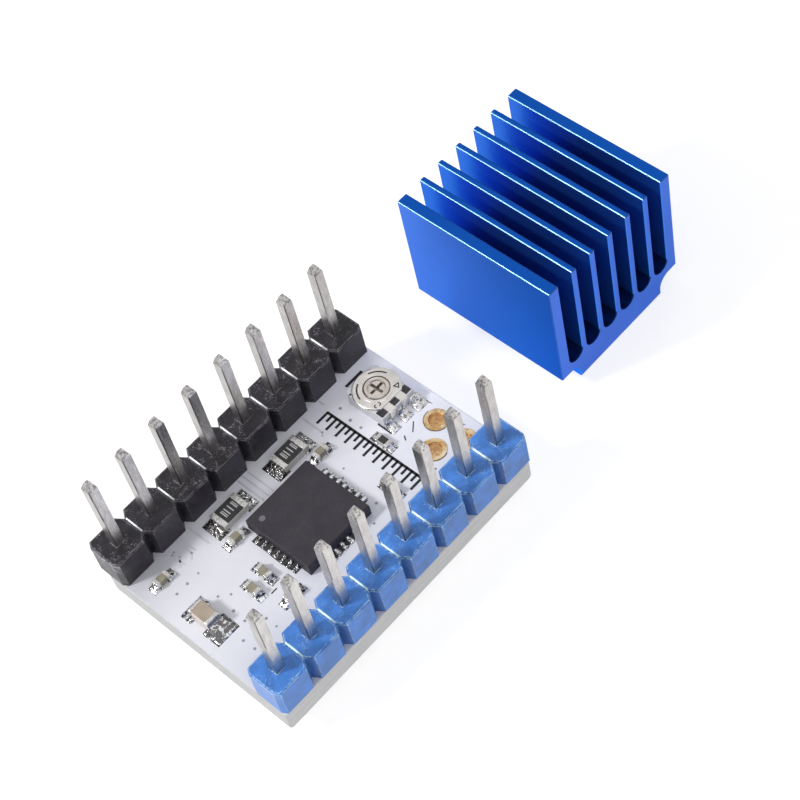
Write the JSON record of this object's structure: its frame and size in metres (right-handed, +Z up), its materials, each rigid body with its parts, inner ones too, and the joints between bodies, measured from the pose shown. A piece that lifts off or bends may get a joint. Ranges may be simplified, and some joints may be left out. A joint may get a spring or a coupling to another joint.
{
  "type": "stepper motor driver module",
  "caption": "Small white circuit board with a square driver chip, black and blue pin headers and a current trimmer, beside its blue finned heat sink.",
  "frame": {"origin": "centre of the 2 x 8 pin grid, at the level of the surface on which the pin tails and the heat sink stand", "axes": "+X along the pin rows towards the heat sink, +Y from the blue row to the black row, +Z up out of the component side, along the pins"},
  "size_m": [0.0367, 0.0152, 0.0115],
  "materials": {
    "board_white": "white solder mask over glass-epoxy, satin gloss",
    "gold_plating": "thin gold flash, bright",
    "header_black": "moulded black nylon, satin",
    "header_blue": "moulded blue nylon, satin gloss",
    "pin_metal": "nickel-plated square wire, satin",
    "solder": "reflowed tin solder, shiny",
    "chip_plastic": "dark moulding compound, fine matte grain",
    "silicon": "polished silicon, hidden",
    "lead_tin": "tinned copper, shiny",
    "trimmer_ceramic": "fired alumina, pale",
    "resistive_film": "carbon film on ceramic, matte",
    "trimmer_steel": "stamped nickel silver, satin",
    "rotor_steel": "stamped nickel silver, satin",
    "resistor_coat": "black overglaze",
    "ceramic_white": "fired alumina",
    "ceramic_tan": "fired barium titanate, tan",
    "ceramic_olive": "fired barium titanate, olive brown",
    "anodised_blue": "blue anodised extrusion, bright satin",
    "thermal_tape": "soft pale adhesive pad"
  },
  "bodies": {
    "module": {"black_header_housing": "header_black", "black_pin_1": "pin_metal", "black_pin_2": "pin_metal", "black_pin_3": "pin_metal", "black_pin_4": "pin_metal", "black_pin_5": "pin_metal", "black_pin_6": "pin_metal", "black_pin_7": "pin_metal", "black_pin_8": "pin_metal", "black_solder_joints": "solder", "blue_header_housing": "header_blue", "blue_pin_1": "pin_metal", "blue_pin_2": "pin_metal", "blue_pin_3": "pin_metal", "blue_pin_4": "pin_metal", "blue_pin_5": "pin_metal", "blue_pin_6": "pin_metal", "blue_pin_7": "pin_metal", "blue_pin_8": "pin_metal", "blue_solder_joints": "solder", "bulk_capacitor_body": "ceramic_tan", "bulk_capacitor_terminals": "lead_tin", "capacitor_1_body": "ceramic_olive", "capacitor_1_terminals": "lead_tin", "capacitor_2_body": "ceramic_olive", "capacitor_2_terminals": "lead_tin", "capacitor_3_body": "ceramic_olive", "capacitor_3_terminals": "lead_tin", "capacitor_4_body": "ceramic_olive", "capacitor_4_terminals": "lead_tin", "capacitor_5_body": "ceramic_olive", "capacitor_5_terminals": "lead_tin", "capacitor_6_body": "ceramic_olive", "capacitor_6_terminals": "lead_tin", "capacitor_7_body": "ceramic_olive", "capacitor_7_terminals": "lead_tin", "driver_chip_body": "chip_plastic", "driver_chip_die": "silicon", "driver_chip_leads": "lead_tin", "driver_chip_pad": "lead_tin", "pcb": "board_white", "plated_holes": "gold_plating", "sense_resistor_1_body": "ceramic_white", "sense_resistor_1_coat": "resistor_coat", "sense_resistor_1_terminals": "lead_tin", "sense_resistor_2_body": "ceramic_white", "sense_resistor_2_coat": "resistor_coat", "sense_resistor_2_terminals": "lead_tin", "small_resistor_body": "ceramic_white", "small_resistor_coat": "resistor_coat", "small_resistor_terminals": "lead_tin", "trimmer_base": "trimmer_ceramic", "trimmer_cover": "trimmer_steel", "trimmer_element": "resistive_film", "trimmer_film": "resistive_film", "trimmer_terminals": "lead_tin"},
    "rotor": {"trimmer_rotor": "rotor_steel", "trimmer_wiper": "rotor_steel"},
    "sink": {"heat_sink": "anodised_blue", "heat_sink_tape": "thermal_tape"}
  },
  "joints": [
    {"name": "trimmer_turn", "type": "hinge", "parent": "module", "child": "rotor", "pos_m": [0.0079, 0.0022, 0.0037], "axis": [0, 0, 1], "range_deg": [-120, 120]},
    {"name": "sink_slide", "type": "slide", "parent": "module", "child": "sink", "axis": [1, 0, 0], "range_m": [0, 0.02]}
  ]
}
